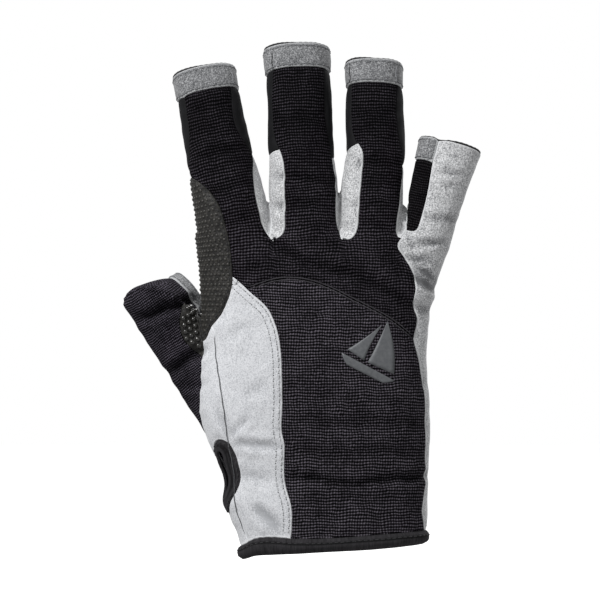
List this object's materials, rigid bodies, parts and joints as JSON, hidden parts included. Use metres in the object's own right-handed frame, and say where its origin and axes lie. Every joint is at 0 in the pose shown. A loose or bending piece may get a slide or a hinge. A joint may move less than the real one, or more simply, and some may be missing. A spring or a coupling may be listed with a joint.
{
  "type": "sailing glove",
  "caption": "Right-hand short-finger sailing glove: ribbed knit back, suede palm and gussets, dotted grip panels, open fingertips, bound cuff and a vent at the wrist.",
  "frame": {"origin": "centre of the hand opening, in the plane of the cuff's rim", "axes": "+Z from the cuff to the fingertips, +X towards the little finger, -Y out of the back of the hand"},
  "size_m": [0.1426, 0.049, 0.2052],
  "materials": {
    "knit": "black square-ribbed stretch knit",
    "lycra": "smooth black stretch fabric",
    "suede": "mid grey synthetic suede, napped",
    "pale_suede": "pale grey synthetic suede, napped",
    "grip": "dark suede printed with silicone dots",
    "binding": "charcoal woven stretch tape",
    "elastic": "black ribbed elastic",
    "label": "white satin ribbon, blank",
    "print": "grey heat-transfer film"
  },
  "bodies": {
    "hand": {"back_panel": "knit", "knuckle_panel": "knit", "thumb_side_panel": "pale_suede", "index_side_grip_root": "grip", "thumb_root_gusset": "pale_suede", "palm_panel": "suede", "palm_heel": "suede", "palm_index_root": "suede", "palm_grip": "grip", "cuff_binding": "binding", "wrist_elastic": "elastic", "care_label": "label", "vent_binding": "binding", "sail_print": "print", "web_index_middle": "suede", "web_middle_ring": "suede", "web_ring_little": "suede"},
    "index_base": {"index_back_base": "knit", "index_palm_base": "suede", "index_gusset_little_side": "suede", "index_side_grip": "grip"},
    "index_end": {"index_back_end": "knit", "index_palm_end": "suede", "index_strip_little_side": "lycra", "index_strip_thumb_side": "lycra", "index_tip_band": "suede"},
    "middle_base": {"middle_back_base": "knit", "middle_palm_base": "suede", "middle_gusset_little_side": "suede", "middle_gusset_thumb_side": "suede"},
    "middle_end": {"middle_back_end": "knit", "middle_palm_end": "suede", "middle_strip_little_side": "lycra", "middle_strip_thumb_side": "lycra", "middle_tip_band": "suede"},
    "ring_base": {"ring_back_base": "knit", "ring_palm_base": "suede", "ring_gusset_little_side": "suede", "ring_gusset_thumb_side": "suede"},
    "ring_end": {"ring_back_end": "knit", "ring_palm_end": "suede", "ring_strip_little_side": "lycra", "ring_strip_thumb_side": "lycra", "ring_tip_band": "suede"},
    "little_base": {"little_gusset_ring_side": "suede", "little_back_base": "knit", "little_palm_base": "suede"},
    "little_end": {"little_strip_ring_side": "lycra", "little_back_end": "knit", "little_palm_end": "suede", "little_tip_band": "suede"},
    "thumb_base": {"thumb_back_base": "knit", "thumb_palm_base": "grip"},
    "thumb_end": {"thumb_back_end": "knit", "thumb_palm_end": "grip", "thumb_tip_band": "suede"}
  },
  "joints": [
    {"name": "index_root_bend", "type": "hinge", "parent": "hand", "child": "index_base", "pos_m": [-0.03889, 0.00581, 0.1319], "axis": [-0.9803, 0, -0.1977], "range_deg": [-7, 66], "stiffness_Nm_per_rad": 0.02},
    {"name": "index_middle_bend", "type": "hinge", "parent": "index_base", "child": "index_end", "pos_m": [-0.04387, 0.00784, 0.15662], "axis": [-0.9803, 0, -0.1977], "range_deg": [-7, 66], "stiffness_Nm_per_rad": 0.02},
    {"name": "middle_root_bend", "type": "hinge", "parent": "hand", "child": "middle_base", "pos_m": [-0.00994, 0.00595, 0.13199], "axis": [-0.9989, 0, -0.0471], "range_deg": [-7, 66], "stiffness_Nm_per_rad": 0.02},
    {"name": "middle_middle_bend", "type": "hinge", "parent": "middle_base", "child": "middle_end", "pos_m": [-0.01122, 0.00798, 0.15921], "axis": [-0.9989, 0, -0.0471], "range_deg": [-7, 66], "stiffness_Nm_per_rad": 0.02},
    {"name": "ring_root_bend", "type": "hinge", "parent": "hand", "child": "ring_base", "pos_m": [0.01659, 0.00555, 0.132], "axis": [-0.9998, 0, 0.0174], "range_deg": [-7, 66], "stiffness_Nm_per_rad": 0.02},
    {"name": "ring_middle_bend", "type": "hinge", "parent": "ring_base", "child": "ring_end", "pos_m": [0.01703, 0.00747, 0.15729], "axis": [-0.9998, 0, 0.0174], "range_deg": [-7, 66], "stiffness_Nm_per_rad": 0.02},
    {"name": "little_root_bend", "type": "hinge", "parent": "hand", "child": "little_base", "pos_m": [0.03895, 0.00506, 0.12881], "axis": [-0.9816, 0, 0.1908], "range_deg": [-7, 66], "stiffness_Nm_per_rad": 0.02},
    {"name": "little_middle_bend", "type": "hinge", "parent": "little_base", "child": "little_end", "pos_m": [0.04341, 0.00612, 0.14468], "axis": [-0.9816, 0, 0.1908], "range_deg": [-7, 60], "stiffness_Nm_per_rad": 0.02},
    {"name": "thumb_root_swing", "type": "hinge", "parent": "hand", "child": "thumb_base", "pos_m": [-0.042, 0.019, 0.068], "axis": [0, 0, -1], "range_deg": [0, 36], "stiffness_Nm_per_rad": 0.02},
    {"name": "thumb_knuckle_straighten", "type": "hinge", "parent": "thumb_base", "child": "thumb_end", "pos_m": [-0.07467, 0.00309, 0.09941], "axis": [0.601, -0.6992, 0.3871], "range_deg": [0, 40], "stiffness_Nm_per_rad": 0.02}
  ]
}
